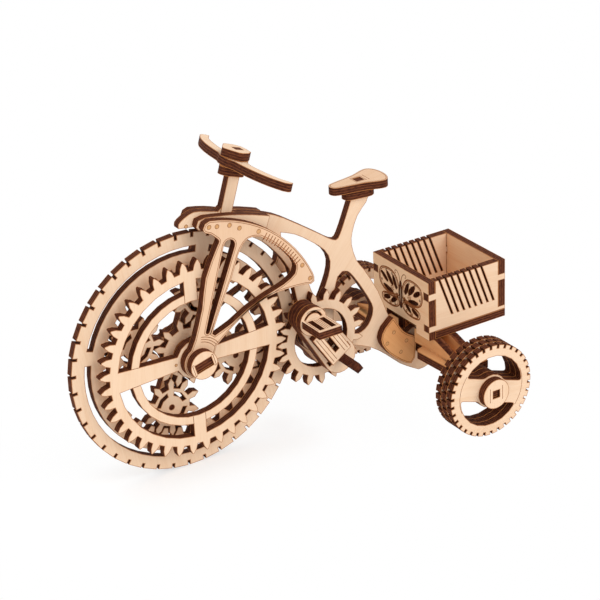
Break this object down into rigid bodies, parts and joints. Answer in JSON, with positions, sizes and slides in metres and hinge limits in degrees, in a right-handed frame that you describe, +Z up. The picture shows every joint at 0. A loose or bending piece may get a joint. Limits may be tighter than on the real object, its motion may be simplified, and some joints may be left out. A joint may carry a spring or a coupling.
{
  "type": "wooden mechanical model tricycle",
  "caption": "Plywood model tricycle: tall front wheel with a planetary gear train driven by a pedal crank, small rear wheels, slotted basket.",
  "frame": {"origin": "on the floor, under the middle of the model's length, in the frame plate's middle plane", "axes": "+X forwards, along the frame to the front wheel; +Y to the model's left; +Z up"},
  "size_m": [0.2048, 0.1172, 0.1416],
  "materials": {
    "light_ply": "matte",
    "warm_ply": "matte",
    "dark_ply": "matte"
  },
  "bodies": {
    "frame": {"frame_plate": "light_ply", "fork_plate_left": "light_ply", "fork_plate_right": "light_ply", "fork_spacer_left": "light_ply", "fork_spacer_right": "light_ply", "planet_carrier": "dark_ply", "side_leaf_left": "warm_ply", "side_leaf_right": "warm_ply", "axle_beam_left": "warm_ply", "axle_beam_right": "warm_ply", "basket_floor": "light_ply", "basket_side_left": "light_ply", "basket_side_right": "light_ply", "basket_front": "warm_ply", "basket_back": "warm_ply", "saddle": "light_ply", "saddle_block": "warm_ply", "stem": "light_ply", "handlebar_block": "warm_ply", "handlebar": "light_ply", "handlebar_clamp": "light_ply"},
    "front_wheel": {"front_wheel": "light_ply"},
    "drive": {"front_gear": "light_ply", "sun_spacer": "light_ply", "sun_gear": "light_ply", "front_axle": "dark_ply", "front_cap_left": "light_ply", "front_cap_right": "light_ply"},
    "planet_1": {"planet_gear_1": "light_ply"},
    "planet_2": {"planet_gear_2": "light_ply"},
    "planet_3": {"planet_gear_3": "light_ply"},
    "planet_4": {"planet_gear_4": "light_ply"},
    "crank": {"crank_gear": "light_ply", "crank_spacer": "light_ply", "crank_axle": "dark_ply", "crank_arm_left": "light_ply", "crank_arm_right": "light_ply", "crank_plate_left": "light_ply", "crank_plate_right": "light_ply"},
    "pedal_left": {"pedal_left": "light_ply"},
    "pedal_right": {"pedal_right": "light_ply"},
    "rear_wheels": {"rear_axle": "dark_ply", "rear_wheel_left_1": "light_ply", "rear_wheel_left_2": "light_ply", "rear_wheel_left_3": "light_ply", "rear_cap_left": "light_ply", "rear_wheel_right_1": "light_ply", "rear_wheel_right_2": "light_ply", "rear_wheel_right_3": "light_ply", "rear_cap_right": "light_ply"}
  },
  "joints": [
    {"name": "front_wheel_spin", "type": "hinge", "parent": "frame", "child": "front_wheel", "pos_m": [0.0485, 0, 0.054], "axis": [0, 1, 0], "continuous": true},
    {"name": "drive_spin", "type": "hinge", "parent": "frame", "child": "drive", "pos_m": [0.0485, 0, 0.054], "axis": [0, 1, 0], "continuous": true},
    {"name": "planet_1_spin", "type": "hinge", "parent": "frame", "child": "planet_1", "pos_m": [0.05744, 0, 0.03033], "axis": [0, 1, 0], "continuous": true},
    {"name": "planet_2_spin", "type": "hinge", "parent": "frame", "child": "planet_2", "pos_m": [0.07217, 0, 0.06294], "axis": [0, 1, 0], "continuous": true},
    {"name": "planet_3_spin", "type": "hinge", "parent": "frame", "child": "planet_3", "pos_m": [0.03956, 0, 0.07767], "axis": [0, 1, 0], "continuous": true},
    {"name": "planet_4_spin", "type": "hinge", "parent": "frame", "child": "planet_4", "pos_m": [0.02483, 0, 0.04506], "axis": [0, 1, 0], "continuous": true},
    {"name": "crank_spin", "type": "hinge", "parent": "frame", "child": "crank", "pos_m": [-0.01392, 0, 0.04456], "axis": [0, 1, 0], "continuous": true},
    {"name": "pedal_left_spin", "type": "hinge", "parent": "crank", "child": "pedal_left", "pos_m": [-0.00404, 0, 0.05949], "axis": [0, 1, 0], "continuous": true},
    {"name": "pedal_right_spin", "type": "hinge", "parent": "crank", "child": "pedal_right", "pos_m": [-0.0238, 0, 0.02963], "axis": [0, 1, 0], "continuous": true},
    {"name": "rear_wheels_spin", "type": "hinge", "parent": "frame", "child": "rear_wheels", "pos_m": [-0.069, 0, 0.0216], "axis": [0, 1, 0], "continuous": true}
  ],
  "couplings": [
    {"joint": "drive_spin", "follows": "front_wheel_spin", "ratio": -2.6667},
    {"joint": "planet_1_spin", "follows": "front_wheel_spin", "ratio": 3.2},
    {"joint": "planet_2_spin", "follows": "front_wheel_spin", "ratio": 3.2},
    {"joint": "planet_3_spin", "follows": "front_wheel_spin", "ratio": 3.2},
    {"joint": "planet_4_spin", "follows": "front_wheel_spin", "ratio": 3.2},
    {"joint": "crank_spin", "follows": "front_wheel_spin", "ratio": 5.614}
  ]
}
